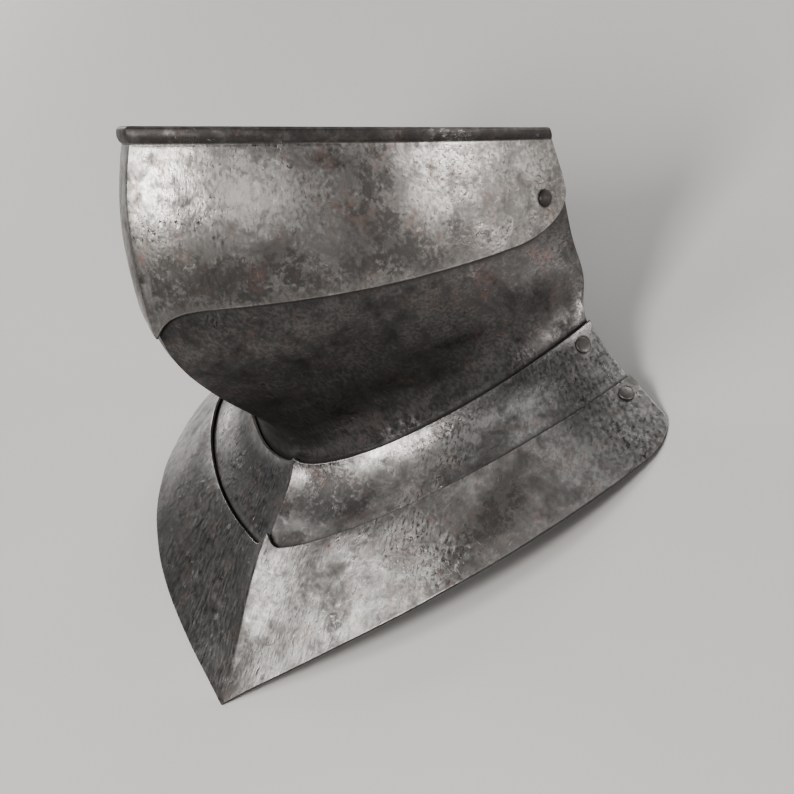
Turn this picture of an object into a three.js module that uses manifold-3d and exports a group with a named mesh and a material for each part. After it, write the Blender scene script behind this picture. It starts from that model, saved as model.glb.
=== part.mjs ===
// A steel gorget: four lames that guard the chin, throat, neck and upper chest. They overlap
// and turn on one rivet at each side, and the collar is open at the back.
//
// The lames are drawn in the attitude in which the gorget is worn, in millimetres, with x
// towards the wearer's left, y back and z up. Both halves mirror each other across x = 0.
// The whole is then leaned back until it stands on its lower edge, as it does when set down.

import * as THREE from "three";
import { mergeVertices } from "three/addons/utils/BufferGeometryUtils.js";
import Module from "manifold-3d";

const { Vector3 } = THREE;

// ---- Driving dimensions -------------------------------------------------------------------

const SHEET = 1.5;            // thickness of every lame
const GAP = 0.8;              // air between a lame and the one it overlaps
const LAYER = SHEET + GAP;    // step from one overlapping lame to the next

// Guides run from the keel at the front, where x = 0, back to the rear edge. Each is a cubic
// Bezier curve given by its four control points, on the innermost layer. The keel stands
// forward of the curve by its ridge, and fades out along it.
const GUIDES = [
  { ridge: 0, points: [[0, -42.5, 249], [40, -25, 249], [86, 30, 249], [88, 109, 249]] },     // rim
  { ridge: 0, points: [[0, -44.5, 212], [40, -27, 213], [86, 32, 217], [88, 120, 226]] },     // chin
  { ridge: 0, points: [[0, -36, 174], [40, -18, 175], [85, 40, 182], [88, 126, 208]] },       // its edge
  { ridge: 0, points: [[0, -24, 152], [38, -4, 154], [85, 50, 169], [89.5, 129, 196]] },      // jaw
  { ridge: 0, points: [[0, 5, 132], [36, 24, 136], [84, 62, 156], [92, 131.5, 182]] },        // under it
  { ridge: 1.5, points: [[0, 45.5, 106], [38, 45, 101], [91, 89, 141], [94.5, 131, 165]] },   // throat
  { ridge: 5, points: [[0, 32, 63], [40, 38, 69], [112, 65, 110], [113, 136, 140]] },         // neck root
  { ridge: 0, points: [[0, 3.7, -1.6], [47, 17, 27], [133, 40, 69], [145, 133, 118]] },       // chest edge
];
const RIDGE_REACH = 9;        // distance over which a ridge fades

// The rolled rim: its depth as a share of the first span of guides, and how far it stands out
const RIM = { depth: 0.2, front: 2.7, rear: 1.4 };
// Its section, from the top down: share of the depth, share of the projection
const RIM_SECTION = [[0, 0.8], [0.08, 0.97], [0.35, 1], [0.62, 0.8], [0.85, 0.45], [1, 0]];

// Rivets, in millimetres: radii, and how high the head and the tail stand
const RIVET = { shank: 1.6, head: 3.6, headHeight: 1.8, tail: 3.0, tailHeight: 1.2, sides: 12 };
// Their sections, from the crown to the seat: share of the radius, share of the height
const HEAD_SECTION = [[0, 1], [0.8, 0.82], [1, 0.45], [1, 0]];
const TAIL_SECTION = [[0, 1], [0.75, 0.9], [1, 0.5], [1, 0]];
const SNUG = 0.3;             // air round the shank in the outer lame, and under the head
const LOOSE = 0.8;            // air round the shank in the inner lame, which turns
const DRILL = 12;             // length of the cut for a hole, which passes through both lames
// Where each pair sits on the guides: s along them, t across them
const RIVET_PLACES = [
  { name: "chin", s: 0.945, t: 1.24, layer: 1, outer: "chin_plate", inner: "throat_plate" },
  { name: "neck", s: 0.942, t: 5.28, layer: 1, outer: "neck_lame", inner: "throat_plate" },
  { name: "chest", s: 0.965, t: 6.18, layer: 2, outer: "chest_lame", inner: "neck_lame" },
];

const LEAN = 43.6;            // degrees the gorget leans back when it stands on its lower edge
const FOOT_CUT = 0.6;         // depth of the flats where the lower edge meets the ground

// ---- The form that the lames share ----------------------------------------------------------

function guidePoint({ ridge, points }, s) {
  const weights = [(1 - s) ** 3, 3 * s * (1 - s) ** 2, 3 * s * s * (1 - s), s ** 3];
  const place = new Vector3();
  points.forEach((p, i) => place.addScaledVector(new Vector3(...p), weights[i]));
  place.y -= ridge * Math.exp(-place.x / RIDGE_REACH);
  return place;
}

// Second derivatives of a natural cubic spline through evenly spaced points
function splineBends(points) {
  const bends = points.map(() => new Vector3());
  for (let sweep = 0; sweep < 25; sweep += 1) {
    for (let i = 1; i < points.length - 1; i += 1) {
      bends[i].copy(points[i - 1]).addScaledVector(points[i], -2).add(points[i + 1]).multiplyScalar(6)
        .sub(bends[i - 1]).sub(bends[i + 1]).divideScalar(4);
    }
  }
  return bends;
}

// A point of the shared form: s runs from the keel to the rear edge, t down across the guides
function form(s, t) {
  const points = GUIDES.map((guide) => guidePoint(guide, s));
  const bends = splineBends(points);
  const i = Math.min(Math.max(Math.floor(t), 0), points.length - 2);
  const [a, b] = [i + 1 - t, t - i];
  return new Vector3()
    .addScaledVector(points[i], a).addScaledVector(points[i + 1], b)
    .addScaledVector(bends[i], (a ** 3 - a) / 6).addScaledVector(bends[i + 1], (b ** 3 - b) / 6);
}

const STEP = 1e-3;

function outward(s, t) {
  const s0 = Math.min(s, 1 - STEP);
  const alongGuides = form(s0 + STEP, t).sub(form(s0, t));
  const acrossGuides = form(s, t + STEP).sub(form(s, t - STEP));
  return acrossGuides.cross(alongGuides).normalize();
}

// A point that stands off the form by a distance. On the keel the two halves meet in a mitre.
function standOff(s, t, distance) {
  const normal = outward(s, t);
  if (s === 0) {
    normal.x = 0;
    normal.divideScalar(normal.lengthSq());
  }
  return form(s, t).addScaledVector(normal, distance);
}

// ---- Edges of the lames -----------------------------------------------------------------------

const cusp = (s, reach) => Math.exp(-s / reach);

// Quarter ellipse that takes a rear corner off over the last stretch of an edge
function corner(s, length) {
  const q = Math.max(0, (s - 1 + length) / length);
  return 1 - Math.sqrt(1 - q * q);
}

// An edge across the guides: where it starts at the keel, its slope and curve towards the rear,
// the height and reach of its point at the keel, and the height and length of its rear corner
function edge({ at, slope = 0, curve = 0, point = 0, reach = 1, round = 0, length = 1 }) {
  return (s) => at + slope * s + curve * s * s + point * cusp(s, reach) + round * corner(s, length);
}

// Each lame spans from its top to its low edge. All share the same lines across the guides, so
// that the facets of overlapping lames lie side by side.
const LAMES = {
  chin_plate: {
    layer: 1,
    rimmed: true,
    top: edge({ at: 0 }),
    low: edge({ at: 2, point: 0.46, reach: 0.05, round: -0.95, length: 0.13 }),
    lines: [0.5, 0.8, 1.1, 1.4, 1.7],
    colour: 0x8f8d89,
  },
  throat_plate: {
    layer: 0,
    top: edge({ at: 1.45, curve: -0.5, round: 0.35, length: 0.08 }),
    low: edge({ at: 5.5, round: -0.25, length: 0.12 }),
    lines: [1.7, 2.1, 2.6, 3.1, 3.6, 4.1, 4.5, 4.75, 4.95, 5.1, 5.25],
    colour: 0x6f6d6a,
  },
  neck_lame: {
    layer: 1,
    top: edge({ at: 5.12, slope: -0.25, curve: 0.13, point: -0.06, reach: 0.02 }),
    low: edge({ at: 6.3, slope: 0.1, round: -0.38, length: 0.12 }),
    lines: [5.25, 5.4, 5.6, 5.8, 6, 6.2],
    colour: 0x85837f,
  },
  chest_lame: {
    layer: 2,
    top: edge({ at: 6, point: -0.13, reach: 0.02 }),
    low: edge({ at: 7, round: -0.35, length: 0.07 }),
    lines: [6.2, 6.4, 6.6, 6.8],
    colour: 0x8b8985,
  },
};

// ---- Solids -------------------------------------------------------------------------------------

const COLUMNS = 24;           // facets from the keel to the rear edge
const CROWDING = 0.82;        // how far the facets crowd towards the keel and the rear edge
const SQUEEZE = 0.012;        // least step across the guides, where an edge crosses a lame's lines

function columnPlaces() {
  return Array.from({ length: COLUMNS + 1 }, (_, i) => {
    const u = i / COLUMNS;
    return u - CROWDING * Math.sin(2 * Math.PI * u) / (2 * Math.PI);
  });
}

// One section of a lame at s: its outer points from top to bottom, and the inner ones behind them
function section(lame, s) {
  const top = lame.top(s);
  const low = lame.low(s);
  const base = lame.layer * LAYER;
  const rows = [];
  if (lame.rimmed) {
    const proud = RIM.front + (RIM.rear - RIM.front) * s;
    for (const [depth, share] of RIM_SECTION.slice(0, -1)) {
      rows.push([RIM.depth * depth, proud * share]);
    }
  }
  const start = lame.rimmed ? RIM.depth : top;
  const lines = [start, ...lame.lines, low];
  lines.forEach((t, i) => {
    const after = start + i * SQUEEZE;
    const before = low - (lines.length - 1 - i) * SQUEEZE;
    rows.push([Math.max(after, Math.min(t, before)), 0]);
  });
  return {
    outer: rows.map(([t, proud]) => standOff(s, t, base + proud)),
    inner: rows.map(([t]) => standOff(s, t, base - SHEET)),
  };
}

const mirrored = (points) => points.map((p) => new Vector3(-p.x, p.y, p.z));

// A closed shell through sections that run from one rear edge round the front to the other
function lameGeometry(lame) {
  const half = columnPlaces().map((s) => section(lame, s));
  const other = half.slice(1).reverse().map(({ outer, inner }) => ({
    outer: mirrored(outer),
    inner: mirrored(inner),
  }));
  const sections = [...other, ...half];
  const rows = half[0].outer.length;
  const loops = sections.map(({ outer, inner }) => [...outer, ...inner.slice().reverse()]);
  const around = 2 * rows;
  const positions = loops.flat().flatMap((p) => [p.x, p.y, p.z]);
  const index = [];
  const quad = (a, b, c, d) => index.push(a, b, c, a, c, d);
  const mirrorQuad = (a, b, c, d) => index.push(a, b, d, b, c, d);
  for (let j = 0; j < loops.length - 1; j += 1) {
    const facet = j < COLUMNS ? mirrorQuad : quad;
    for (let k = 0; k < around; k += 1) {
      const next = (k + 1) % around;
      facet(j * around + k, j * around + next, (j + 1) * around + next, (j + 1) * around + k);
    }
  }
  const last = (loops.length - 1) * around;
  for (let k = 0; k < rows - 1; k += 1) {
    const behind = around - 1 - k;
    quad(k, behind, behind - 1, k + 1);
    quad(last + k, last + k + 1, last + behind - 1, last + behind);
  }
  const geometry = new THREE.BufferGeometry();
  geometry.setAttribute("position", new THREE.Float32BufferAttribute(positions, 3));
  geometry.setIndex(index);
  return geometry;
}

// The frame of a rivet on one side: its seat on the outer lame, and the way its head points
function rivetSeat({ s, t, layer }, side) {
  const seat = standOff(s, t, layer * LAYER);
  const axis = outward(s, t);
  seat.x *= side;
  axis.x *= side;
  return new THREE.Matrix4().compose(
    seat,
    new THREE.Quaternion().setFromUnitVectors(new Vector3(0, 1, 0), axis),
    new Vector3(1, 1, 1),
  );
}

// A domed head outside, the shank, and a flatter head inside
function rivetGeometry() {
  const { shank, head, headHeight, tail, tailHeight, sides } = RIVET;
  const under = -(2 * SHEET + GAP) - LOOSE / 2;
  const profile = [
    ...TAIL_SECTION.map(([radius, height]) => [radius * tail, under - height * tailHeight]),
    [shank, under],
    [shank, SNUG],
    ...HEAD_SECTION.map(([radius, height]) => [radius * head, SNUG + height * headHeight]).reverse(),
  ];
  return new THREE.LatheGeometry(profile.map(([r, h]) => new THREE.Vector2(r, h)), sides);
}

function holeGeometry(radius) {
  return new THREE.CylinderGeometry(radius, radius, DRILL, RIVET.sides);
}

// ---- Cuts -----------------------------------------------------------------------------------------

const WELD = 1e-4;            // vertices closer than this are one

const wasm = await Module();
wasm.setup();

function toSolid(geometry) {
  const bare = geometry.clone();
  bare.deleteAttribute("normal");
  bare.deleteAttribute("uv");
  const merged = mergeVertices(bare, WELD);
  return new wasm.Manifold(new wasm.Mesh({
    numProp: 3,
    vertProperties: new Float32Array(merged.attributes.position.array),
    triVerts: new Uint32Array(merged.index.array),
  }));
}

function toGeometry(solid) {
  const mesh = solid.getMesh();
  const geometry = new THREE.BufferGeometry();
  geometry.setAttribute("position", new THREE.BufferAttribute(new Float32Array(mesh.vertProperties), 3));
  geometry.setIndex(new THREE.BufferAttribute(new Uint32Array(mesh.triVerts), 1));
  return geometry;
}

// The ground under the leaned gorget, turned back into the worn attitude
function groundGeometry(chest) {
  const lean = new THREE.Matrix4().makeRotationX(-LEAN * Math.PI / 180);
  const leaned = chest.clone().applyMatrix4(lean);
  leaned.computeBoundingBox();
  const size = 600;             // wider than the gorget, and deeper than its lowest point
  const depth = 20;
  const ground = new THREE.BoxGeometry(size, size, depth);
  ground.translate(0, 0, leaned.boundingBox.min.z + FOOT_CUT - depth / 2);
  return ground.applyMatrix4(lean.clone().invert());
}

const steel = (colour) => new THREE.MeshStandardMaterial({ color: colour, roughness: 0.42, metalness: 1 });

function makeLame(name) {
  const lame = LAMES[name];
  const plain = lameGeometry(lame);
  let solid = toSolid(plain);
  for (const place of RIVET_PLACES) {
    const air = { [place.outer]: SNUG, [place.inner]: LOOSE }[name];
    if (air === undefined) continue;
    for (const side of [1, -1]) {
      const hole = holeGeometry(RIVET.shank + air).applyMatrix4(rivetSeat(place, side));
      solid = solid.subtract(toSolid(hole));
    }
  }
  if (name === "chest_lame") {
    solid = solid.subtract(toSolid(groundGeometry(plain)));
  }
  const mesh = new THREE.Mesh(toGeometry(solid), steel(lame.colour));
  mesh.name = name;
  return mesh;
}

function makeRivet(place, sideName) {
  const mesh = new THREE.Mesh(rivetGeometry(), steel(0x77736d));
  mesh.name = `${place.name}_rivet_${sideName}`;
  mesh.applyMatrix4(rivetSeat(place, sideName === "left" ? 1 : -1));
  return mesh;
}

// ---- The gorget --------------------------------------------------------------------------------------

const worn = new THREE.Group();
for (const name of Object.keys(LAMES)) worn.add(makeLame(name));
for (const place of RIVET_PLACES) {
  worn.add(makeRivet(place, "left"), makeRivet(place, "right"));
}

// Lean it back, then bring the middle of its foot to the origin
worn.rotation.x = -LEAN * Math.PI / 180;
const gorget = new THREE.Group();
gorget.add(worn);
gorget.updateMatrixWorld(true);
const bounds = new THREE.Box3().setFromObject(gorget, true);
worn.position.set(0, -(bounds.min.y + bounds.max.y) / 2, -bounds.min.z);

export default gorget;
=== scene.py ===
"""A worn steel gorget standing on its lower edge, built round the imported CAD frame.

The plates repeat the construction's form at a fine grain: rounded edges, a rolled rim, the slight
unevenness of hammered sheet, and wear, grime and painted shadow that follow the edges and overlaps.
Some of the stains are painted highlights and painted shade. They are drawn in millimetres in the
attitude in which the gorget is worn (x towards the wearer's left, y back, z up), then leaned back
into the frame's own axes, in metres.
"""

import math

import bpy
import numpy as np
from mathutils import Matrix, Vector, noise


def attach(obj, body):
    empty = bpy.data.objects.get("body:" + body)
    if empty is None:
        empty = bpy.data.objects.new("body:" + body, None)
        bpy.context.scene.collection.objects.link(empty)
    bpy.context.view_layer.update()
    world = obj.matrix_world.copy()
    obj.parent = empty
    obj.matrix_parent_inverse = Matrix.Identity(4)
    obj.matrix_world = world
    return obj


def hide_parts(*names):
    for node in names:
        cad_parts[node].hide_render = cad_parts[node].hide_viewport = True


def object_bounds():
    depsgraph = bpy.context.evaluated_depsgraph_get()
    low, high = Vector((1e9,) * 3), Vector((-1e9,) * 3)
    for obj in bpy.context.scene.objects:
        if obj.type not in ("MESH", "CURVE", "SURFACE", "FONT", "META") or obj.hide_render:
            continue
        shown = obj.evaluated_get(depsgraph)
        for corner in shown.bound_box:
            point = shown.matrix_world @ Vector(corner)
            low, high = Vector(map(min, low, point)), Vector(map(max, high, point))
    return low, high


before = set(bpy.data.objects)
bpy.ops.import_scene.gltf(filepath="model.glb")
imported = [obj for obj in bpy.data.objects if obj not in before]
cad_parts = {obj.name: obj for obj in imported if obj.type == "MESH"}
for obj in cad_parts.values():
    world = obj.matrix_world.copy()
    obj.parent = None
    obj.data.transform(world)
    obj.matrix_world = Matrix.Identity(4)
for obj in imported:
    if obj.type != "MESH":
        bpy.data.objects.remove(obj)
CAD_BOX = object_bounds()
MM = 0.001

# ---- Driving dimensions, in millimetres, as in the construction --------------------------------

SHEET = 1.5
GAP = 0.8
LAYER = SHEET + GAP
LEAN = math.radians(43.6)
SHIFT = np.array([0, -124.96, 0.404])    # from the worn attitude's origin, once leaned, to the frame's

# Cubic Bezier guides from the keel to the rear edge, on the innermost layer, from the rim down
GUIDES = np.array([
    [[0, -42.5, 249], [40, -25, 249], [86, 30, 249], [88, 109, 249]],
    [[0, -44.5, 212], [40, -27, 213], [86, 32, 217], [88, 120, 226]],
    [[0, -36, 174], [40, -18, 175], [85, 40, 182], [88, 126, 208]],
    [[0, -24, 152], [38, -4, 154], [85, 50, 169], [89.5, 129, 196]],
    [[0, 5, 132], [36, 24, 136], [84, 62, 156], [92, 131.5, 182]],
    [[0, 45.5, 106], [38, 45, 101], [91, 89, 141], [94.5, 131, 165]],
    [[0, 32, 63], [40, 38, 69], [112, 65, 110], [113, 136, 140]],
    [[0, 3.7, -1.6], [47, 17, 27], [133, 40, 69], [145, 133, 118]],
], float)
RIDGES = np.array([0, 0, 0, 0, 0, 1.5, 5, 0], float)
RIDGE_REACH = 9.0

RIM_DEPTH = 0.2          # share of the first span of guides
RIM_FRONT = 2.7          # how far the bead stands out at the keel
RIM_REAR = 1.4           # and at the rear edge
RIM_CROWN = 0.3          # where the bead stands out most, as a share of its depth
BEAD_TOP = (2.5, 0.4)    # exponents of the bead's section above its crown, and below it
BEAD_LOW = (2.2, 0.77)
GROOVE = {"place": 1.06, "width": 0.07, "depth": 0.14}    # place and width as shares of the rim's depth

RIVET_SHANK = 1.6        # radii of the shank, the head and the tail
RIVET_HEAD = 3.6
RIVET_TAIL = 3.0
TAIL_HEIGHT = 1.2
TAIL_EDGE = 0.25         # height of the tail's edge
TAIL_FULL = 2.4          # fullness of the tail's curve, where 2 is an ellipse
LIP_WIDTH = 0.3          # width of the lip under the head
LIP_INSET = 0.15         # how far in from the head's side its lowest ring lies
LIP_HEIGHT = 0.1         # and how high above the sheet
RIVET_SIDES = 48
HOLE_SIDES = 32
HOLE_REACH = 6 * SHEET   # how far the cutter of a hole goes to each side
SNUG = 0.3               # air round the shank in the outer lame, and under the head
LOOSE = 0.8              # air round the shank in the inner lame
# Where each pair sits: its outer lame, s along the guides, t across them, the lame's layer, the
# height and fullness of the head, and how black it has gone
RIVETS = {
    "chin": {"on": "chin_plate", "s": 0.945, "t": 1.24, "layer": 1, "height": 2.0, "full": 2.0,
             "tarnish": 0.85},
    "neck": {"on": "neck_lame", "s": 0.942, "t": 5.28, "layer": 1, "height": 0.9, "full": 3.0,
             "tarnish": 0.15},
    "chest": {"on": "chest_lame", "s": 0.965, "t": 6.18, "layer": 2, "height": 1.0, "full": 2.8,
              "tarnish": 0.3},
}
# Which pairs pass through each lame, with the air round the shank
HOLES = {
    "chin_plate": {"chin": SNUG},
    "throat_plate": {"chin": LOOSE, "neck": LOOSE},
    "neck_lame": {"neck": SNUG, "chest": LOOSE},
    "chest_lame": {"chest": SNUG},
}

# Stains: s along the guides (below zero on the wearer's right), t across them, the half-widths along
# and across in millimetres, and the depth, which is below zero where the steel is made lighter. The
# light marks on the chin plate and at the neck lame's point are painted highlights, and the dark marks
# on the chin plate's lower half and between its highlights are painted shade.
STAINS_AND_PAINTED_LIGHT = {
    "chin_plate": [
        (0.50, 0.42, 9, 4, 1.6), (0.38, 0.26, 11, 3, 1.0), (0.62, 0.30, 6, 3, 1.0),
        (0.62, 1.28, 16, 11, 1.4), (0.52, 1.00, 6, 5, 0.8), (0.66, 1.68, 16, 6, 0.8),
        (0.74, 1.35, 6, 5, 1.0), (0.12, 1.50, 22, 13, 1.0), (0.28, 1.68, 18, 8, 0.8),
        (0.40, 1.75, 90, 14, 1.0), (0.38, 1.45, 14, 9, 0.7), (0.19, 0.95, 7, 4, 0.4),
        (0.60, 0.65, 11, 11, 1.3), (0.55, 0.80, 12, 12, 0.6), (0.78, 1.40, 10, 10, 0.6),
        (0.08, 0.60, 10, 22, -0.5), (0.20, 0.55, 9, 14, -0.6), (0.33, 0.62, 12, 14, -1.0),
        (0.47, 0.80, 12, 10, -0.6), (0.76, 0.45, 8, 16, -0.7), (0.82, 1.70, 10, 4, -0.7),
        (0.93, 0.60, 9, 22, -0.2),
    ],
    "throat_plate": [
        (0.26, 4.42, 16, 7, 1.1), (0.20, 4.10, 22, 5, 0.8), (0.45, 4.25, 26, 5, 0.9),
        (0.65, 4.00, 28, 5, 1.0), (0.86, 3.80, 18, 7, 0.8), (0.72, 3.35, 26, 7, 0.6),
        (0.90, 3.00, 14, 14, 0.5), (0.80, 2.60, 20, 5, 0.5), (0.96, 3.95, 5, 10, 0.7),
        (0.24, 2.75, 26, 10, -0.4), (0.38, 4.90, 16, 6, -1.5), (0.25, 4.68, 10, 4, -1.2),
        (0.60, 4.95, 22, 3, -1.0), (0.985, 4.45, 4, 10, -1.6), (0.94, 2.30, 7, 10, -0.9),
    ],
    "neck_lame": [
        (0.04, 5.24, 4, 5, -3.0), (0.20, 5.58, 19, 11, 2.0), (0.00, 5.62, 14, 8, 0.8),
        (0.30, 5.80, 16, 7, 0.9), (0.42, 5.28, 14, 5, -1.0), (0.57, 5.50, 16, 9, -0.5),
        (0.45, 5.74, 9, 4, -0.4), (0.60, 5.93, 12, 3, 0.9), (0.85, 5.55, 24, 10, -0.9),
        (0.96, 5.60, 12, 14, -1.8), (0.13, 5.34, 11, 6, 1.7), (0.08, 5.93, 13, 5, 1.3),
        (-0.50, 5.58, 10, 7, -1.1), (-0.26, 5.75, 14, 8, 0.7),
    ],
    "chest_lame": [
        (0.06, 6.12, 5, 9, -1.2), (0.10, 6.45, 12, 22, -0.3), (0.30, 6.85, 26, 8, -0.5),
        (0.44, 6.55, 16, 14, 0.6), (0.66, 6.50, 11, 14, 1.3), (0.58, 6.65, 11, 12, 1.2),
        (0.74, 6.65, 20, 16, 0.5), (0.90, 6.60, 16, 20, -0.6), (-0.34, 6.65, 18, 15, 0.5),
        (-0.66, 6.35, 10, 20, -0.9), (-0.20, 6.45, 9, 12, -0.5), (0.03, 6.86, 9, 10, 1.0),
        (-0.07, 6.84, 11, 11, -0.8), (-0.12, 6.60, 9, 12, -0.5),
    ],
}
# Scuffed places, full of fine scratches and pits that glitter, in the same terms
SCUFFS = {
    "chin_plate": [
        (0.12, 0.60, 14, 24, 0.8), (0.20, 0.95, 16, 6, 0.9), (0.06, 1.15, 10, 8, 0.7),
        (0.38, 0.24, 14, 4, 1.0), (0.76, 0.45, 16, 26, 0.9), (0.82, 1.60, 18, 6, 1.0),
        (0.95, 1.10, 9, 14, 0.8), (0.26, 1.45, 8, 4, 0.7),
    ],
    "throat_plate": [(0.40, 4.95, 22, 4, 0.7), (0.985, 4.4, 5, 12, 0.5)],
    "neck_lame": [(0.42, 5.25, 30, 5, 0.9), (0.48, 5.95, 18, 4, 1.0), (0.05, 5.3, 8, 7, 0.6)],
    "chest_lame": [
        (0.08, 6.3, 14, 20, 0.8), (0.25, 6.75, 34, 18, 0.7), (0.45, 6.4, 14, 12, 1.0),
        (0.55, 6.75, 16, 12, 1.1), (0.30, 6.10, 26, 5, 0.7),
    ],
}

KEEL_SOFT = 9.0          # largest radius of the keel's crease on the chest
KEEL_SOFT_FROM = 6.0     # place across the guides from which it is soft
KEEL_SOFT_LOW = 2.0      # above 1, it is softest near the point
KEEL_SIDE = 0.05         # s at which the slope beside the keel is taken
KEEL_FADE = 30.0         # distance from the keel over which the softening fades out
HUG_DEPTH = 0.45         # how far a top edge leans in where it lies tight
HUG_REACH = 5.0          # and how far down the lame that reaches
HUGS = {"neck_lame": {"s": 0.33, "half": 0.09}, "chest_lame": {"s": 0.45, "half": 0.1}}
INSIDE_GRIME = 0.3       # grime all over the inside
RIM_GRIME_AND_SHADE = 0.7          # how far grime and painted shade reach down from the rolled rim
CHIN_SHADOW = 2.2         # how far painted shadow reaches over the throat plate, from the chin plate
# Painted shadow from a lame's top edge over the plate under it: how far it reaches, and how much less where
# the edge hugs it
TOP_EDGE_SHADOW = {"neck_lame": (2.0, 1.6), "chest_lame": (2.6, 2.2)}
CUT_EDGE_DARKENING = 0.3          # how far the dark of a cut edge reaches over the face of the sheet
WEAR_LINE = 0.8          # where the bright line of wear runs beside an edge
WEAR_WIDTH = 0.5
RING_REACH = 1.0         # how far grime and painted shade reach out from a rivet's head
HEAD_GRIME_AND_SHADE = 0.3         # and up the head itself
TAIL_GRIME = 0.8         # grime on the middle of a rivet's tail
BLACK_TO = 1.02          # how far down the rim is blackened, as a share of its depth
BLACK_FADE = 0.01        # share of a span of guides over which that fades
# Patterns along the plate: metres for each unit of s and of t, and the step to the inside
FLOW = (0.16, 0.035, 0.1)
EDGE_ROUND = 0.5         # radius of the worn edges of the sheet
KEEL_ROUND = 1.3         # distance over which the crease of the keel is rounded
UNEVEN = ((0.42, 34.0), (0.16, 13.0))    # amplitude and length of the hammered unevenness
COLUMNS = 130            # columns of the fine mesh from the keel to the rear edge
CROWDING = 0.97          # how far rows and columns crowd towards the edges
RIM_ROWS = 31            # rows of the rolled rim, which reach a little below it
RIM_ROWS_TO = 1.35
RIM_CROWDING = 1.25
BELOW_RIM_CROWDING = 0.9


# ---- The form that the plates share ---------------------------------------------------------------

def guide_points(s):
    """Points of every guide at each s."""
    weights = np.stack([(1 - s) ** 3, 3 * s * (1 - s) ** 2, 3 * s * s * (1 - s), s ** 3])
    points = np.einsum("gpc,pn->gnc", GUIDES, weights)
    points[:, :, 1] -= RIDGES[:, None] * np.exp(-points[:, :, 0] / RIDGE_REACH)
    return points


def spline_bends(points):
    """Second derivatives of the natural cubic splines that cross the guides."""
    inner = len(points) - 2
    system = 4 * np.eye(inner) + np.eye(inner, k=1) + np.eye(inner, k=-1)
    known = 6 * (points[:-2] - 2 * points[1:-1] + points[2:])
    bends = np.zeros_like(points)
    bends[1:-1] = np.linalg.solve(system, known.reshape(inner, -1)).reshape(known.shape)
    return bends


def form(s, t):
    """The shared form at arrays s (keel to rear edge) and t (down across the guides)."""
    places, spread = np.unique(s, return_inverse=True)
    points = guide_points(places)
    bends = spline_bends(points)
    i = np.clip(np.floor(t), 0, len(GUIDES) - 2).astype(int)
    a = (i + 1 - t)[:, None]
    b = (t - i)[:, None]
    return (a * points[i, spread] + b * points[i + 1, spread]
            + (a ** 3 - a) / 6 * bends[i, spread] + (b ** 3 - b) / 6 * bends[i + 1, spread])


def surface(s, t):
    """Points of the form, outward normals, and millimetres per unit of s and of t."""
    step = 1e-3
    s0 = np.minimum(s, 1 - step)
    points = form(s, t)
    along = form(s0 + step, t) - form(s0, t)
    across = form(s, t + step) - form(s, t - step)
    normal = np.cross(across, along)
    normal[:, 0] *= 1 - np.exp(-points[:, 0] / KEEL_ROUND)
    normal /= np.linalg.norm(normal, axis=1)[:, None]
    return points, normal, np.linalg.norm(along, axis=1) / step, np.linalg.norm(across, axis=1) / 2 / step


def lean(points):
    """Turns points or directions from the worn attitude to the frame's axes."""
    x, y, z = np.asarray(points, float).reshape(-1, 3).T
    return np.column_stack([x, y * math.cos(LEAN) + z * math.sin(LEAN),
                            z * math.cos(LEAN) - y * math.sin(LEAN)])


def corner(s, length):
    """Rounding of a rear corner, from 0 where it starts to 1 at the rear edge."""
    q = np.maximum(0, (s - 1 + length) / length)
    return 1 - np.sqrt(np.maximum(0, 1 - q * q))


def edge(at, slope=0.0, curve=0.0, point=0.0, reach=1.0, rounding=0.0, length=1.0):
    """t along an edge, as a function of s, with a point at the keel and a rounded rear corner."""
    def place(s):
        return (at + slope * s + curve * s * s + point * np.exp(-s / reach)
                + rounding * corner(s, length))
    return place


LAMES = {
    "chin_plate": {
        "body": "chin", "layer": 1, "rows": 46, "rimmed": True,
        "top": edge(0),
        "low": edge(2, point=0.46, reach=0.05, rounding=-0.95, length=0.13),
    },
    "throat_plate": {
        "body": "throat", "layer": 0, "rows": 104, "rimmed": False,
        "top": edge(1.45, curve=-0.5, rounding=0.35, length=0.08),
        "low": edge(5.5, rounding=-0.25, length=0.12),
    },
    "neck_lame": {
        "body": "neck", "layer": 1, "rows": 52, "rimmed": False,
        "top": edge(5.12, slope=-0.25, curve=0.13, point=-0.06, reach=0.02),
        "low": edge(6.3, slope=0.1, rounding=-0.38, length=0.12),
    },
    "chest_lame": {
        "body": "chest", "layer": 2, "rows": 64, "rimmed": False,
        "top": edge(6, point=-0.13, reach=0.02),
        "low": edge(7, rounding=-0.35, length=0.07),
    },
}
LAST = len(GUIDES) - 1    # t at the lower edge of the chest lame


def to_frame(points):
    """Worn-attitude millimetres to the frame's metres."""
    return (lean(points) + SHIFT) * MM


# ---- Fine plates ------------------------------------------------------------------------------------

def crowd(v):
    """Moves places between 0 and 1 towards both ends."""
    return v - CROWDING * np.sin(2 * np.pi * v) / (2 * np.pi)


def bead(depth):
    """Share of the bead's projection at a depth that is a share of the rim's."""
    above = np.clip((RIM_CROWN - depth) / RIM_CROWN, 0, 1)
    below = np.clip((depth - RIM_CROWN) / (1 - RIM_CROWN), 0, 1)
    return (1 - above ** BEAD_TOP[0]) ** BEAD_TOP[1] * (1 - below ** BEAD_LOW[0]) ** BEAD_LOW[1]


def rim_relief(s, t, to_rear):
    """How far the rolled rim and the groove under it stand off the plate."""
    depth = t / RIM_DEPTH
    proud = RIM_FRONT + (RIM_REAR - RIM_FRONT) * s
    worn_end = np.sqrt(1 - (1 - np.clip(to_rear, 0, 1)) ** 2)
    groove = GROOVE["depth"] * np.exp(-((depth - GROOVE["place"]) / GROOVE["width"]) ** 2)
    return proud * bead(depth) * worn_end - groove


def uneven(points):
    """Gentle unevenness of hammered sheet, the same for every layer at a place."""
    height = np.zeros(len(points))
    for amplitude, length in UNEVEN:
        height += amplitude * np.array([noise.noise(Vector(p) / length) for p in points])
    return height


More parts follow.
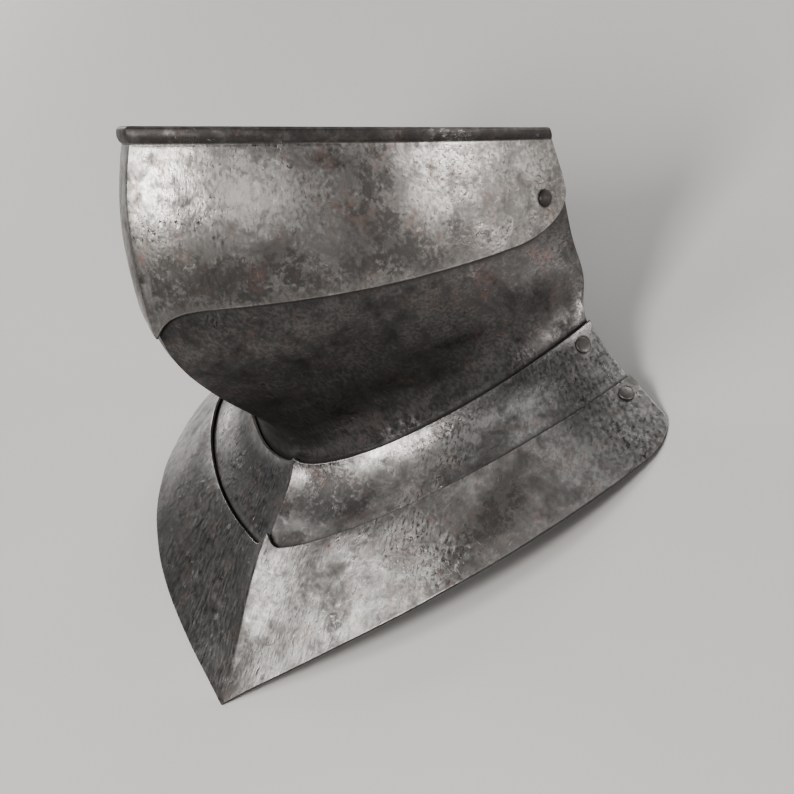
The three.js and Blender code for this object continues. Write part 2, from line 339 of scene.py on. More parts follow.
def row_places(lame, s):
    """t of every row at each s: the rim has rows of its own, and rows crowd at the edges."""
    top, low = lame["top"](s), lame["low"](s)
    v = np.linspace(0, 1, lame["rows"] + 1)
    if not lame["rimmed"]:
        return top + (low - top) * crowd(v)[:, None]
    down = np.linspace(0, 1, RIM_ROWS)[:, None] ** RIM_CROWDING
    bead_rows = RIM_DEPTH * RIM_ROWS_TO * down + 0 * s
    share = np.sin(v[1:, None] * np.pi / 2) ** BELOW_RIM_CROWDING
    return np.vstack([bead_rows, bead_rows[-1] + (low - bead_rows[-1]) * share])


def hugged(name, s):
    """How tightly the top edge of a lame lies on the one under it, from 0 to 1, along the edge."""
    if name not in HUGS:
        return 0 * s
    return np.exp(-((s - HUGS[name]["s"]) / HUGS[name]["half"]) ** 2)


def soften_keel(points, t):
    """Rounds the crease of the keel on the chest, most of all near the point and not at it."""
    down = np.clip((t - KEEL_SOFT_FROM) / (LAST - KEEL_SOFT_FROM), 0, 1)
    radius = KEEL_SOFT * np.sin(np.pi * down ** KEEL_SOFT_LOW)
    _, beside, _, _ = surface(np.full_like(t, KEEL_SIDE), t)
    upright = beside * (0, 1, 1)
    length = np.linalg.norm(upright, axis=1)
    slope = np.abs(beside[:, 0]) / length
    drop = slope * (np.hypot(points[:, 0], radius) - points[:, 0]) * np.exp(-points[:, 0] / KEEL_FADE)
    return points - upright / length[:, None] * drop[:, None]


def charted(marks, s, t, per_s, per_t):
    """Sum of a chart's marks. Each fades like a bell from its middle."""
    total = np.zeros_like(s)
    for s0, t0, along, across, depth in marks:
        total += depth * np.exp(-((s - s0) * per_s / along) ** 2 - ((t - t0) * per_t / across) ** 2)
    return total


def covered(name, s, t, per_s, per_t, to_edge):
    """Darkening where a plate, the rim or a rivet meets this one, and on its cut edge: painted shadow under
    the edges that lie over it, and grime and painted shade under the rim and round rivets.
    """
    def from_top(over):
        reach, less = TOP_EDGE_SHADOW[over]
        return LAMES[over]["top"](s) - t, reach - less * hugged(over, s)

    meets = {
        "chin_plate": [],
        "throat_plate": [(t - LAMES["chin_plate"]["low"](s), CHIN_SHADOW), from_top("neck_lame")],
        "neck_lame": [from_top("chest_lame")],
        "chest_lame": [],
    }[name]
    grime_and_shade = np.exp(-(to_edge / CUT_EDGE_DARKENING) ** 2)
    for distance, reach in meets:
        grime_and_shade = np.maximum(grime_and_shade, np.exp(-np.maximum(distance * per_t, 0) / reach))
    if LAMES[name]["rimmed"]:
        below = t - RIM_DEPTH
        near = np.exp(-np.maximum(below * per_t, 0) / RIM_GRIME_AND_SHADE)
        grime_and_shade = np.maximum(grime_and_shade, near * (below > 0))
    for place in RIVETS.values():
        if place["on"] == name:
            away = np.hypot((s - place["s"]) * per_s, (t - place["t"]) * per_t) - RIVET_HEAD
            grime_and_shade = np.maximum(grime_and_shade, np.exp(-np.maximum(away, 0) / RING_REACH))
    return grime_and_shade


def mesh_object(name, vertices, faces):
    mesh = bpy.data.meshes.new(name)
    mesh.from_pydata([tuple(v) for v in vertices], [], [tuple(f) for f in faces])
    mesh.polygons.foreach_set("use_smooth", [True] * len(mesh.polygons))
    mesh.validate()
    thing = bpy.data.objects.new(name, mesh)
    bpy.context.scene.collection.objects.link(thing)
    return thing


def add_attribute(thing, name, values):
    attribute = thing.data.attributes.new(name, "FLOAT", "POINT")
    attribute.data.foreach_set("value", np.asarray(values, np.float32))


def shell_faces(rows, columns):
    """Quads of an outer and an inner grid of rows by columns, closed round their edges."""
    outer = np.arange(rows * columns).reshape(rows, columns)
    inner = outer + rows * columns
    faces = []

    def weave(a, b, c, d):
        faces.append(np.stack([a.ravel(), b.ravel(), c.ravel(), d.ravel()], axis=1))

    weave(outer[:-1, :-1], outer[1:, :-1], outer[1:, 1:], outer[:-1, 1:])
    weave(inner[:-1, 1:], inner[1:, 1:], inner[1:, :-1], inner[:-1, :-1])
    weave(outer[0, :-1], outer[0, 1:], inner[0, 1:], inner[0, :-1])
    weave(outer[-1, 1:], outer[-1, :-1], inner[-1, :-1], inner[-1, 1:])
    weave(outer[1:, 0], outer[:-1, 0], inner[:-1, 0], inner[1:, 0])
    weave(outer[:-1, -1], outer[1:, -1], inner[1:, -1], inner[:-1, -1])
    return np.vstack(faces)


def make_plate(name):
    """The fine mesh of a lame, with what its steel needs to know of each place."""
    lame = LAMES[name]
    steps = np.arange(-COLUMNS, COLUMNS + 1)
    side = np.sign(steps)
    column_s = crowd(np.abs(steps) / COLUMNS)
    t_grid = row_places(lame, column_s)
    rows, columns = t_grid.shape
    s = np.broadcast_to(column_s, t_grid.shape).ravel()
    t = t_grid.ravel()
    flip = np.ones((len(s), 3))
    flip[:, 0] = np.broadcast_to(side, t_grid.shape).ravel()

    points, normal, per_s, per_t = surface(s, t)
    points = soften_keel(points, t)
    points, normal = points * flip, normal * flip
    to_rear = (1 - s) * per_s
    to_top = (t - lame["top"](s)) * per_t
    to_edge = np.minimum(np.minimum(to_rear, to_top), (lame["low"](s) - t) * per_t)
    inset = EDGE_ROUND - np.clip(to_edge, 0, EDGE_ROUND)
    half = SHEET / 2 - EDGE_ROUND + np.sqrt(EDGE_ROUND ** 2 - inset ** 2)
    middle = lame["layer"] * LAYER - SHEET / 2 + uneven(points)
    middle -= HUG_DEPTH * hugged(name, s) * np.exp(-to_top / HUG_REACH)
    relief = rim_relief(s, t, to_rear) if lame["rimmed"] else 0
    outer = points + normal * (middle + half + relief)[:, None]
    inner = points + normal * (middle - half)[:, None]

    vertices = to_frame(np.vstack([outer, inner]))
    vertices[:, 2] = np.maximum(vertices[:, 2], 0)    # nothing goes into the floor
    faces = shell_faces(rows, columns)
    plate = mesh_object(f"{name}_steel", vertices, faces)
    signed_s = s * flip[:, 0]
    unmarked = np.zeros_like(s)
    inside = np.concatenate([unmarked, np.ones_like(s)])
    # Darker where plates, the rim and rivets meet: painted shadow under overlapping edges, grime and painted
    # shade elsewhere.
    grime_and_shade = covered(name, s, t, per_s, per_t, to_edge)
    wear = np.exp(-np.abs(to_edge - WEAR_LINE) / WEAR_WIDTH)
    black = np.clip((RIM_DEPTH * BLACK_TO - t) / BLACK_FADE, 0, 1) if lame["rimmed"] else unmarked
    # Some marks of the stain chart are painted highlights and painted shade.
    charts = {"stain_and_painted_light": STAINS_AND_PAINTED_LIGHT[name], "scuff": SCUFFS[name]}
    marks = {key: charted(chart, signed_s, t, per_s, per_t) for key, chart in charts.items()}
    add_attribute(plate, "grime_and_shade", np.concatenate([grime_and_shade, np.maximum(grime_and_shade, INSIDE_GRIME)]))
    add_attribute(plate, "wear", np.concatenate([wear, wear]))
    add_attribute(plate, "stain_and_painted_light", np.concatenate([marks["stain_and_painted_light"], unmarked]))
    add_attribute(plate, "scuff", np.concatenate([marks["scuff"], unmarked]))
    add_attribute(plate, "tarnish", np.concatenate([black, unmarked]))
    add_attribute(plate, "inside", inside)
    along = np.tile(signed_s * FLOW[0], 2)
    across = np.tile(t * FLOW[1], 2)
    flow = plate.data.attributes.new("flow", "FLOAT_VECTOR", "POINT")
    flow.data.foreach_set("vector", np.column_stack([along, across, FLOW[2] * inside]).ravel())
    return plate


# ---- Rivets and their holes -------------------------------------------------------------------------

def seat_matrix(place, side):
    """Frame of a rivet: z points out of the outer lame, and the origin is on its uneven surface."""
    point, normal, _, _ = surface(np.array([place["s"]]), np.array([place["t"]]))
    flip = (side, 1, 1)
    point, normal = point * flip, normal * flip
    seat = point + normal * (place["layer"] * LAYER + uneven(point))
    axis = Vector(lean(normal)[0])
    turn = axis.to_track_quat("Z", "Y").to_matrix().to_4x4()
    return Matrix.Translation(Vector(to_frame(seat)[0])) @ turn @ Matrix.Scale(MM, 4)


def lathe(name, profile, matrix, sides):
    """A closed solid of revolution about z. Its profile runs from axis to axis."""
    rings = np.array([p for p in profile if p[0] > 0])
    angles = 2 * np.pi * np.arange(sides) / sides
    points = [(r * math.cos(a), r * math.sin(a), h) for r, h in rings for a in angles]
    grid = np.arange(len(rings) * sides).reshape(len(rings), sides)
    after = np.roll(grid, -1, axis=1)
    faces = [tuple(q) for q in np.stack([grid[:-1], after[:-1], after[1:], grid[1:]], -1).reshape(-1, 4)]
    points += [(0, 0, profile[0][1]), (0, 0, profile[-1][1])]
    low, high = len(points) - 2, len(points) - 1
    faces += [(low, b, a) for a, b in zip(grid[0], after[0])]
    faces += [(high, a, b) for a, b in zip(grid[-1], after[-1])]
    thing = mesh_object(name, points, faces)
    thing.data.transform(matrix)
    return thing


def arc(radius, base, height, full, steps=10):
    """Quarter of a superellipse from the side of a head to its crown."""
    power = 2 / full
    angles = [math.pi / 2 * i / steps for i in range(steps)]
    return [(radius * math.cos(a) ** power, base + height * math.sin(a) ** power) for a in angles]


def make_rivet(pair, side_name, material):
    """A rivet from its tail, through both lames, to its head. It rides with the outer lame."""
    place = RIVETS[pair]
    under = -(2 * SHEET + GAP) - LOOSE / 2
    curve = arc(RIVET_TAIL, TAIL_EDGE, TAIL_HEIGHT - TAIL_EDGE, TAIL_FULL)
    tail = [(r, under - h) for r, h in reversed(curve)]
    skirt = [(RIVET_TAIL, under), (RIVET_SHANK, under), (RIVET_SHANK, SNUG),
             (RIVET_HEAD - LIP_WIDTH, SNUG), (RIVET_HEAD - LIP_INSET, LIP_HEIGHT)]
    head = arc(RIVET_HEAD, SNUG, place["height"], place["full"])
    crown = (0, SNUG + place["height"])
    base = (0, under - TAIL_HEIGHT)
    profile = [base] + tail + skirt + head + [crown]
    name = f"{pair}_rivet_{side_name}"
    side = 1 if side_name == "left" else -1
    rivet = lathe(f"{name}_steel", profile, seat_matrix(place, side), RIVET_SIDES)
    # Grime and painted shade cover the rivet below its head and fade up the head.
    grime_and_shade = [math.exp(-max(h - SNUG, 0) / HEAD_GRIME_AND_SHADE) for r, h in profile if r > 0]
    add_attribute(rivet, "grime_and_shade", np.append(np.repeat(grime_and_shade, RIVET_SIDES), [TAIL_GRIME, 0]))
    add_attribute(rivet, "tarnish", np.full(len(rivet.data.vertices), place["tarnish"]))
    rivet.data.materials.append(material)
    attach(rivet, pair)
    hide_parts(name)


def cut_holes(plate, name):
    """Cuts the holes that the rivets pass through."""
    cutters = []
    for pair, air in HOLES[name].items():
        radius = RIVET_SHANK + air
        profile = [(0, -HOLE_REACH), (radius, -HOLE_REACH), (radius, HOLE_REACH), (0, HOLE_REACH)]
        for side in (1, -1):
            cutters.append(lathe("cutter", profile, seat_matrix(RIVETS[pair], side), HOLE_SIDES))
    for cutter in cutters:
        cut = plate.modifiers.new("hole", "BOOLEAN")
        cut.operation = "DIFFERENCE"
        cut.solver = "EXACT"
        cut.object = cutter
    whole = plate.evaluated_get(bpy.context.evaluated_depsgraph_get())
    plate.data = bpy.data.meshes.new_from_object(whole)
    plate.modifiers.clear()
    for cutter in cutters:
        bpy.data.objects.remove(cutter)


# ---- Worn steel ---------------------------------------------------------------------------------------

# Bare steel, for scratches and bare patches; some bare patches are painted highlights.
BARE_STEEL_AND_HIGHLIGHT = (0.6, 0.585, 0.57)
BLACKENED = (0.055, 0.051, 0.05)
FORGE_SCALE = (0.14, 0.13, 0.122)
RUST = (0.27, 0.14, 0.11)
# Colour of dirt, which also paints the shade where plates, the rim and rivets meet.
GRIME_AND_SHADE_COLOUR = (0.028, 0.025, 0.023)
DEEP_STAIN_AND_SHADE = 0.45        # how bright the deepest stains and painted shade are, and the pits, as a share of the dark steel
PIT_DARK = 0.5

SEED_STEP = (37.0, 11.0, 5.0)        # how far a pattern moves for each seed, in millimetres
FLOW_SEED_STEP = (7.0, 19.0, 0.0)
# Noises: length in millimetres, and any detail, roughness and distortion
PATTERNS = {
    "clouds": (27, 7, 0.66, 0.7),
    "mottle": (7, 5, 0.62, 0.4),
    "grain": (1.9, 4, 0.65),
    "flecks": (1.25, 3, 0.6, 0.3),
    "lines": (1.3, 3, 0.6),
    "hammered": (9, 2, 0.5),
    "glints": (17, 3, 0.6, 0.5),
    "rust": (13, 5, 0.7, 0.5),
    "forge": (16, 5, 0.65, 0.5),
    "pit_patches": (19, 4, 0.65, 0.8),
    "pit_edges": (8,),
    "scratch": (2.4, 1, 0.4, 0.5),
    "breaks": (3.1,),
}
STRETCHES = {"flecks": (1.0, 0.5, 1.0), "lines": (1.0, 0.045, 1.0)}
# Soft steps: where each starts and ends, and its values there if they aren't 0 and 1
RAMPS = {
    "glints": (0.5, 0.68, 0.08, 0.55),
    "broken": (0.4, 0.6, 0.4, 1.5),
    "polished": (0.47, 0.6),
    "deep_stain_and_shade": (0.5, 1.8, 0, 0.6),
    "bared_and_highlight": (-0.9, -2.6, 0, 0.9),
    "flecked": (0.52, 0.38),
    "fleck_depth": (0, 1, 0.12, 0.5),
    "fleck_gloss": (0, 1, 0.25, 0.8),
    "tarnished": (0.62, 0.42, 0.8, 1.0),
    "rust_patches": (0.52, 0.68),
    "rust_grain": (0.4, 0.6),
    "bright_edge": (0.85, 1.35),
    "dirt_and_shade": (0.55, 1.25),
    "forged": (0.25, 0.5),
    "spot_size": (0, 1, 0.08, 0.32),
    "spot_edge": (0, 0.13),
    "pit_scuffs": (0.95, 1.5),
    "scratch_band": (0.016, 0.003),
    "scratch_patches": (0.6, 0.7),
    "scratch_breaks": (0.47, 0.58),
}
PITS = {"coarse": (2.3, 0.62), "fine": (1.2, 0.7), "alone": (6.5, 0.72)}    # cell, share left empty
PIT_RAGGED = {"Scale": 0.9, "Detail": 2}
PIT_SHIFT = 1.5          # how far the ragged noise moves the edge of a pit
SCRATCHES = ((0.5, 31), (-0.9, 23), (1.4, 37), (-0.2, 17))    # turn, and length of the patches
SCRATCH_STRETCH = (1.0, 0.2, 1.0)
SCRATCH_PATCH_DETAIL = 3
SCRATCH_IN_SCUFF = 0.17
STAIN_AND_LIGHT_TONE = 0.085      # how much a stain lowers the tone of the steel; painted shade lowers it too, and a painted highlight raises it
# Levels of noise between which patina and patches of pits set in, and how much a full share lowers them
PATINA_FROM, PATINA_TO = (0.58, 0.13), (0.4, 0.1)
PATCH_FROM, PATCH_TO = (0.7, 0.2), (0.8, 0.1)
# How strongly each part covers what lies under it
COVER = {"pitted": 0.42, "scratched": 0.8, "bright_edge": 0.28, "dirt_and_shade": 0.9, "forged": 0.75}
# How much each part takes from the metal, adds to the roughness and adds to the height
OXIDE = {"stained": 0.16, "dirt_and_shade": 0.5, "rusty": 0.5, "pitted": 0.3, "tarnished": 0.3}
ROUGHER = {"stained": 0.1, "dirt_and_shade": 0.25, "forged": 0.12, "pitted": 0.15, "tarnished": 0.16}
LINE_GLOSS = 0.22
MOTTLE_GLOSS = -0.3
# Heights that grow with another part: the least, that part, and how much it adds
GROWING_RELIEF = {"hammered": (0.05, "inside", 0.3), "grain": (0.03, "glitter", 0.12),
                  "flecks": (0.02, "glitter", 0.2)}
RELIEF = {"mottle": 0.04, "lines": 0.012, "pitted": -0.04, "scratched": -0.04, "dirt_and_shade": 0.02}


def add(tree, kind, inputs=None, **settings):
    """Adds a node with its settings. An input is a value, or the socket that feeds it."""
    made = tree.nodes.new(kind)
    for key, value in settings.items():
        setattr(made, key, value)
    for key, value in (inputs or {}).items():
        if isinstance(value, bpy.types.NodeSocket):
            tree.links.new(value, made.inputs[key])
        else:
            made.inputs[key].default_value = value
    return made


class Weave:
    """Short names for the nodes of one material. Lengths are in millimetres."""

    def __init__(self, tree, seed):
        self.tree = tree
        place = add(tree, "ShaderNodeTexCoord").outputs["Object"]
        shift = tuple(seed * step for step in SEED_STEP)
        self.place = self.vector("MULTIPLY_ADD", place, (1 / MM,) * 3, shift)
        flow = add(tree, "ShaderNodeAttribute", attribute_name="flow").outputs["Vector"]
        shift = tuple(seed * step for step in FLOW_SEED_STEP)
        self.flow = self.vector("MULTIPLY_ADD", flow, (1 / MM,) * 3, shift)

    def vector(self, operation, a, b, c=(0, 0, 0)):
        inputs = {0: a, 1: b, 2: c}
        return add(self.tree, "ShaderNodeVectorMath", inputs, operation=operation).outputs["Vector"]

    def math(self, operation, a, b=0.5, c=0.5):
        return add(self.tree, "ShaderNodeMath", {0: a, 1: b, 2: c}, operation=operation).outputs["Value"]

    def centred(self, value):
        return self.math("SUBTRACT", value, 0.5)

    def times(self, *factors):
        product = factors[0]
        for factor in factors[1:]:
            product = self.math("MULTIPLY", product, factor)
        return product

    def plus(self, *terms):
        total = terms[0]
        for term in terms[1:]:
            total = self.math("ADD", total, term)
        return total

    def weighed(self, parts, weights):
        return self.plus(*(self.times(parts[name], weight) for name, weight in weights.items()))

    def noise(self, length, detail=4.0, roughness=0.6, distortion=0.0, place=None):
        inputs = {"Vector": place or self.place, "Scale": 1 / length, "Detail": detail,
                  "Roughness": roughness, "Distortion": distortion}
        return add(self.tree, "ShaderNodeTexNoise", inputs).outputs["Fac"]

    def ramp(self, value, low, high, to_low=0.0, to_high=1.0):
        inputs = {"Value": value, "From Min": low, "From Max": high, "To Min": to_low, "To Max": to_high}
        return add(self.tree, "ShaderNodeMapRange", inputs, interpolation_type="SMOOTHSTEP").outputs["Result"]

    def pattern(self, name):
        """A noise of the table. A stretched one runs along the plate."""
        if name not in STRETCHES:
            return self.noise(*PATTERNS[name])
        return self.noise(*PATTERNS[name], place=self.vector("MULTIPLY", self.flow, STRETCHES[name]))

    def shaped(self, value, name):
        return self.ramp(value, *RAMPS[name])

    def attribute(self, name):
        return add(self.tree, "ShaderNodeAttribute", attribute_name=name).outputs["Fac"]

    def blend(self, factor, colour, other):
        mixer = add(self.tree, "ShaderNodeMix", {0: factor}, data_type="RGBA")
        for index, value in ((6, colour), (7, other)):
            if isinstance(value, bpy.types.NodeSocket):
                self.tree.links.new(value, mixer.inputs[index])
            else:
                mixer.inputs[index].default_value = (*value, 1)
        return mixer.outputs[2]


def level(limits, share):
    """A level of noise, lowered by its share of the most that it can drop."""
    return limits[0] - limits[1] * share


def scatter(weave, place, length, empty):
    """Spots of different sizes, one in each cell but for the share left empty."""
    inputs = {"Vector": place, "Scale": 1 / length}
    cells = add(weave.tree, "ShaderNodeTexVoronoi", inputs)
    chance = add(weave.tree, "ShaderNodeSeparateColor", {"Color": cells.outputs["Color"]}).outputs
    size = weave.shaped(chance["Green"], "spot_size")
    spot = weave.shaped(weave.math("SUBTRACT", size, cells.outputs["Distance"]), "spot_edge")
    return weave.times(spot, weave.math("GREATER_THAN", chance["Red"], empty))


def pit_mask(weave, share, scuff):
    """Ragged pits under a millimetre wide: loose groups in patches and scuffs, and a few alone."""
    ragged = add(weave.tree, "ShaderNodeTexNoise", {"Vector": weave.place, **PIT_RAGGED})
    place = weave.vector("MULTIPLY_ADD", ragged.outputs["Color"], (PIT_SHIFT,) * 3, weave.place)
    patches = weave.ramp(weave.pattern("pit_patches"), level(PATCH_FROM, share), level(PATCH_TO, share))
    scuffed = weave.shaped(weave.plus(scuff, weave.pattern("pit_edges")), "pit_scuffs")
    where = weave.math("MAXIMUM", patches, scuffed)
    coarse, fine, alone = (scatter(weave, place, *PITS[kind]) for kind in ("coarse", "fine", "alone"))
    return weave.math("MAXIMUM", weave.times(where, weave.math("MAXIMUM", coarse, fine)), alone)


def scratch_mask(weave, scuff):
    """Fine curved scratches: narrow bands where stretched noise crosses its middle."""
    lines = None
    for turn, patch in SCRATCHES:
        turned = add(weave.tree, "ShaderNodeVectorRotate",
                     {"Vector": weave.flow, "Angle": turn}, rotation_type="Z_AXIS").outputs["Vector"]
        long_way = weave.vector("MULTIPLY", turned, SCRATCH_STRETCH)
        value = weave.noise(*PATTERNS["scratch"], place=long_way)
        band = weave.shaped(weave.math("ABSOLUTE", weave.centred(value)), "scratch_band")
        gate = weave.plus(weave.noise(patch, SCRATCH_PATCH_DETAIL, place=weave.flow),
                          weave.times(scuff, SCRATCH_IN_SCUFF))
        band = weave.times(band, weave.shaped(gate, "scratch_patches"),
                           weave.shaped(weave.pattern("breaks"), "scratch_breaks"))
        lines = band if lines is None else weave.math("MAXIMUM", lines, band)
    return lines


def steel_parts(weave, patina, pits, rust, scratches):
    """Patterns and masks, by name, that the colour, gloss and relief are made of."""
    part = {}
    for name in ("clouds", "mottle", "grain", "flecks", "lines", "hammered"):
        part[name] = weave.pattern(name)
    for name in ("grime_and_shade", "wear", "inside", "stain_and_painted_light", "scuff", "tarnish"):
        part[name] = weave.attribute(name)
    part["pitted"] = pit_mask(weave, pits, part["scuff"])
    part["scratched"] = weave.times(scratch_mask(weave, part["scuff"]), scratches)
    glints = weave.shaped(weave.pattern("glints"), "glints")
    part["glitter"] = weave.math("MAXIMUM", part["scuff"], glints)

    mixed = weave.weighed(part, {"clouds": 0.5, "mottle": 0.4, "grain": 0.1})
    broken = weave.shaped(weave.weighed(part, {"mottle": 0.6, "grain": 0.4}), "broken")
    # Dark marks of the chart deepen the patina, some as painted shade; light marks lift it, some as painted
    # highlights.
    part["stain_and_painted_light"] = weave.times(part["stain_and_painted_light"], broken)
    part["shade"] = weave.math("SUBTRACT", mixed, weave.times(part["stain_and_painted_light"], STAIN_AND_LIGHT_TONE))
    part["stained"] = weave.ramp(part["shade"], level(PATINA_FROM, patina), level(PATINA_TO, patina))
    part["polished"] = weave.shaped(weave.weighed(part, {"shade": 0.7, "flecks": 0.3}), "polished")
    part["flecked"] = weave.times(weave.shaped(part["flecks"], "flecked"),
                                  weave.shaped(part["glitter"], "fleck_depth"))
    part["tarnished"] = weave.times(part["tarnish"], weave.shaped(mixed, "tarnished"))
    part["rusty"] = weave.times(weave.shaped(weave.pattern("rust"), "rust_patches"),
                                weave.shaped(part["grain"], "rust_grain"), rust)
    part["bright_edge"] = weave.shaped(weave.weighed(part, {"wear": 1.0, "mottle": 0.6}), "bright_edge")
    # Dirt, and painted shade where plates, the rim and rivets meet.
    part["dirt_and_shade"] = weave.shaped(weave.weighed(part, {"grime_and_shade": 1.0, "mottle": 0.35, "grain": 0.35}), "dirt_and_shade")
    part["forged"] = weave.times(part["inside"], weave.shaped(weave.pattern("forge"), "forged"))
    return part


def steel_colour(weave, part, bright, dark):
    """Polished steel with everything that lies on it, from the patina up to the dirt. The deep stains and
    dirt carry painted shade, and the bare patches painted highlights.
    """
    middle = tuple(0.5 * (b + d) for b, d in zip(bright, dark))
    layers = (
        (part["polished"], bright),
        (part["stained"], dark),
        # Deep stains, partly painted shade, and bare patches, partly painted highlights.
        (weave.shaped(part["stain_and_painted_light"], "deep_stain_and_shade"), tuple(DEEP_STAIN_AND_SHADE * d for d in dark)),
        (weave.shaped(part["stain_and_painted_light"], "bared_and_highlight"), BARE_STEEL_AND_HIGHLIGHT),
        (part["flecked"], dark),
        (part["tarnished"], BLACKENED),
        (part["rusty"], RUST),
        (weave.times(part["pitted"], COVER["pitted"]), tuple(PIT_DARK * d for d in dark)),
        (weave.times(part["scratched"], COVER["scratched"]), BARE_STEEL_AND_HIGHLIGHT),
        (weave.times(part["bright_edge"], COVER["bright_edge"]), bright),
        # Dirt, with painted shadow and shade where plates, the rim and rivets meet.
        (weave.times(part["dirt_and_shade"], COVER["dirt_and_shade"]), GRIME_AND_SHADE_COLOUR),
        (weave.times(part["forged"], COVER["forged"]), FORGE_SCALE),
    )
    colour = middle
    for share, layer in layers:
        colour = weave.blend(share, colour, layer)
    return colour


def steel_roughness(weave, part, rough):
    return weave.plus(
        rough,
        weave.weighed(part, ROUGHER),
        weave.times(weave.centred(part["flecks"]), weave.shaped(part["glitter"], "fleck_gloss")),
        weave.times(weave.centred(part["lines"]), LINE_GLOSS),
        weave.times(weave.centred(part["mottle"]), MOTTLE_GLOSS),
    )


def steel_relief(weave, part):
    """Height of the fine relief, in millimetres. It is deeper inside and where the steel glitters."""
    heights = [weave.weighed(part, RELIEF)]
    for name, (least, other, more) in GROWING_RELIEF.items():
        heights.append(weave.times(part[name], weave.plus(least, weave.times(part[other], more))))
    return weave.plus(*heights)


def worn_steel(name, seed, bright, dark, patina, pits, rust, scratches, rough):
    """Old polished steel: clouds of grey patina, stains, pits, scuffs, scratches and faint rust, with painted
    highlights and painted shade among the stains and the dirt.
    """
    material = bpy.data.materials.new(name)
    material.use_nodes = True
    tree = material.node_tree
    shader = tree.nodes["Principled BSDF"]
    weave = Weave(tree, seed)
    part = steel_parts(weave, patina, pits, rust, scratches)
    metal = weave.math("SUBTRACT", 1.0, weave.weighed(part, OXIDE))
    height = steel_relief(weave, part)
    relief = add(tree, "ShaderNodeBump", {"Height": height, "Distance": MM, "Strength": 1.0})
    tree.links.new(steel_colour(weave, part, bright, dark), shader.inputs["Base Color"])
    tree.links.new(metal, shader.inputs["Metallic"])
    tree.links.new(steel_roughness(weave, part, rough), shader.inputs["Roughness"])
    tree.links.new(relief.outputs["Normal"], shader.inputs["Normal"])
    return material


STEELS = {
    "chin_plate": {
        "seed": 1, "bright": (0.5, 0.487, 0.468), "dark": (0.15, 0.144, 0.138),
        "patina": 0.3, "pits": 0.3, "rust": 0.4, "scratches": 0.6, "rough": 0.33,
    },
    # The throat plate's steel is much darker than the others: partly its smoky patina, and partly painted
    # shade, since it faces down.
    "throat_plate": {
        "seed": 2, "bright": (0.15, 0.146, 0.144), "dark": (0.04, 0.038, 0.037),
        "patina": 0.6, "pits": 0.25, "rust": 0.3, "scratches": 0.2, "rough": 0.4,
    },
    "neck_lame": {
        "seed": 3, "bright": (0.4, 0.392, 0.385), "dark": (0.11, 0.107, 0.105),
        "patina": 0.4, "pits": 0.3, "rust": 0.25, "scratches": 0.9, "rough": 0.34,
    },
    "chest_lame": {
        "seed": 4, "bright": (0.44, 0.43, 0.42), "dark": (0.13, 0.125, 0.12),
        "patina": 0.4, "pits": 0.25, "rust": 0.35, "scratches": 1.0, "rough": 0.35,
    },
}
RIVET_STEEL = {
    "seed": 5, "bright": (0.24, 0.232, 0.224), "dark": (0.12, 0.116, 0.11),
    "patina": 0.4, "pits": 0.5, "rust": 0.3, "scratches": 0.3, "rough": 0.42,
}


# ---- Camera, floor and light ------------------------------------------------------------------------

CAMERA = {"azimuth": 45.0, "elevation": 7.13, "lens": 95.0, "distance": 900.0, "aim": (50.3, 57.35, 134.0)}
FLOOR = {"half": 30.0, "colour": (0.68, 0.67, 0.66), "roughness": 0.7,
         "glow": 0.5, "glow_from": 0.5, "glow_to": 2.0}
WORLD = {"colour": (0.6, 0.61, 0.63), "horizon": 0.5, "above": 0.1, "above_from": 0.35}
# Softboxes that face the middle of the gorget: azimuth and elevation in degrees, distance and
# size in metres, watts and colour
LIGHTS = {
    "key": (12, 46, 1.2, (0.45, 0.45), 10, (1, 0.97, 0.94)),
    "front": (-40, 55, 1.3, (0.6, 0.6), 4.8, (1, 0.98, 0.96)),
    "side": (108, -2, 0.9, (0.22, 0.22), 3, (1, 0.97, 0.95)),
    "fill": (54, 25, 1.4, (0.45, 0.45), 1.2, (1, 0.98, 0.96)),
    "back": (-112, 14, 1.3, (0.3, 0.4), 3.5, (1, 0.98, 0.97)),
    "rear": (180, 12, 1.5, (1.2, 0.3), 8, (1, 0.99, 0.98)),
    "over": (170, 72, 1.6, (1.2, 1.0), 3, (1, 0.99, 0.98)),
}


def towards(azimuth, elevation):
    """Direction at an azimuth from the front and an elevation, in degrees."""
    a, e = math.radians(azimuth), math.radians(elevation)
    return np.array([math.sin(a) * math.cos(e), -math.cos(a) * math.cos(e), math.sin(e)])


def make_camera():
    """The camera keeps its place to the worn gorget, and leans back with it."""
    back = towards(CAMERA["azimuth"], CAMERA["elevation"])
    place = to_frame(np.array(CAMERA["aim"]) + back * CAMERA["distance"])[0]
    a = math.radians(CAMERA["azimuth"])
    right = Vector(lean([math.cos(a), math.sin(a), 0])[0])
    out = Vector(lean(back)[0])
    turn = Matrix([right, out.cross(right), out]).transposed()
    camera = bpy.data.objects.new("camera", bpy.data.cameras.new("camera"))
    camera.data.lens = CAMERA["lens"]
    camera.matrix_world = Matrix.Translation(place) @ turn.to_4x4()
    bpy.context.scene.collection.objects.link(camera)
    bpy.context.scene.camera = camera


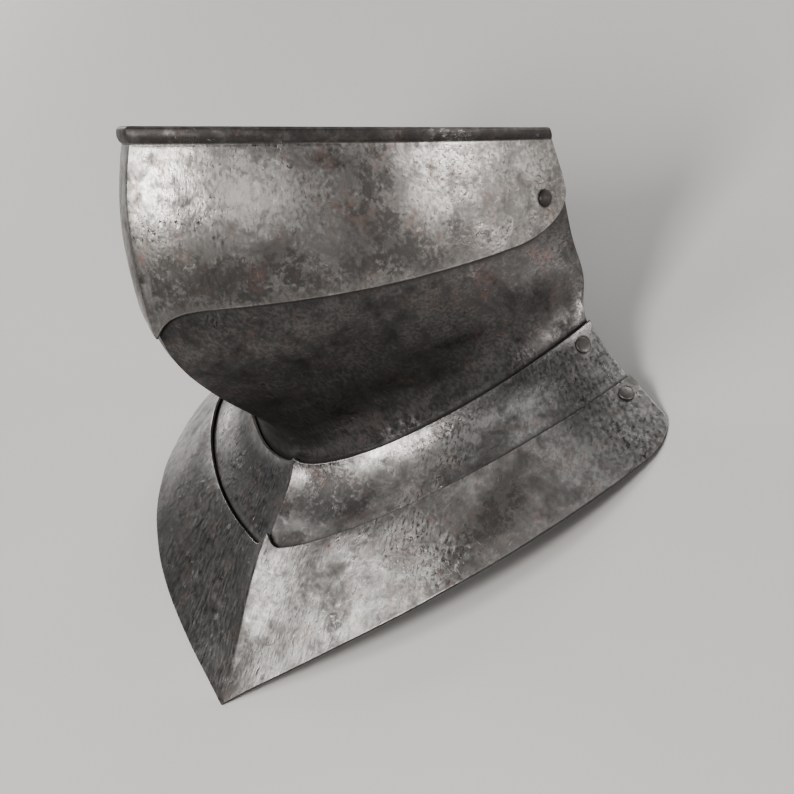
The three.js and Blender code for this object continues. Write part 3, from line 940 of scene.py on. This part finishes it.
def make_floor():
    """A pale floor. Far out it glows a little, which makes up for the lamps that don't reach it."""
    half = FLOOR["half"]
    corners = [(-half, -half, 0), (half, -half, 0), (half, half, 0), (-half, half, 0)]
    floor = mesh_object("floor", corners, [(0, 1, 2, 3)])
    material = bpy.data.materials.new("floor_paint")
    material.use_nodes = True
    tree = material.node_tree
    shader = tree.nodes["Principled BSDF"]
    shader.inputs["Base Color"].default_value = (*FLOOR["colour"], 1)
    shader.inputs["Roughness"].default_value = FLOOR["roughness"]
    shader.inputs["Emission Color"].default_value = (*FLOOR["colour"], 1)
    place = add(tree, "ShaderNodeTexCoord").outputs["Object"]
    away = add(tree, "ShaderNodeVectorMath", {0: place}, operation="LENGTH").outputs["Value"]
    near, far = FLOOR["glow_from"], FLOOR["glow_to"]
    glow = add(tree, "ShaderNodeMapRange", {"Value": away, "From Min": near, "From Max": far,
                                            "To Min": 0, "To Max": FLOOR["glow"]},
               interpolation_type="SMOOTHSTEP").outputs["Result"]
    tree.links.new(glow, shader.inputs["Emission Strength"])
    floor.data.materials.append(material)


def area_light(name, azimuth, elevation, distance, size, power, colour):
    """A softbox that faces the middle of the gorget."""
    middle = (CAD_BOX[0] + CAD_BOX[1]) / 2
    out = Vector(towards(azimuth, elevation))
    lamp = bpy.data.lights.new(name, "AREA")
    lamp.shape = "RECTANGLE"
    lamp.size, lamp.size_y = size
    lamp.energy = power
    lamp.color = colour
    thing = bpy.data.objects.new(name, lamp)
    thing.location = middle + out * distance
    thing.rotation_euler = out.to_track_quat("Z", "Y").to_euler()
    bpy.context.scene.collection.objects.link(thing)


def make_world():
    """Dim grey studio air, a little paler towards the horizon."""
    world = bpy.data.worlds.new("studio")
    world.use_nodes = True
    tree = world.node_tree
    background = tree.nodes["Background"]
    background.inputs["Color"].default_value = (*WORLD["colour"], 1)
    place = add(tree, "ShaderNodeTexCoord").outputs["Generated"]
    height = add(tree, "ShaderNodeSeparateXYZ", {0: place}).outputs["Z"]
    pale = add(tree, "ShaderNodeMapRange", {"Value": height, "From Min": 0,
                                            "From Max": WORLD["above_from"],
                                            "To Min": WORLD["horizon"], "To Max": WORLD["above"]},
               interpolation_type="SMOOTHSTEP").outputs["Result"]
    tree.links.new(pale, background.inputs["Strength"])
    bpy.context.scene.world = world
    bpy.context.scene.view_settings.look = "AgX - Medium High Contrast"


def main():
    make_camera()
    make_floor()
    make_world()
    for name, setup in LIGHTS.items():
        area_light(name, *setup)
    for name in LAMES:
        plate = make_plate(name)
        cut_holes(plate, name)
        plate.data.materials.append(worn_steel(f"{name}_finish", **STEELS[name]))
        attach(plate, LAMES[name]["body"])
        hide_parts(name)
    rivet_steel = worn_steel("rivet_finish", **RIVET_STEEL)
    for pair in RIVETS:
        for side_name in ("left", "right"):
            make_rivet(pair, side_name, rivet_steel)


main()
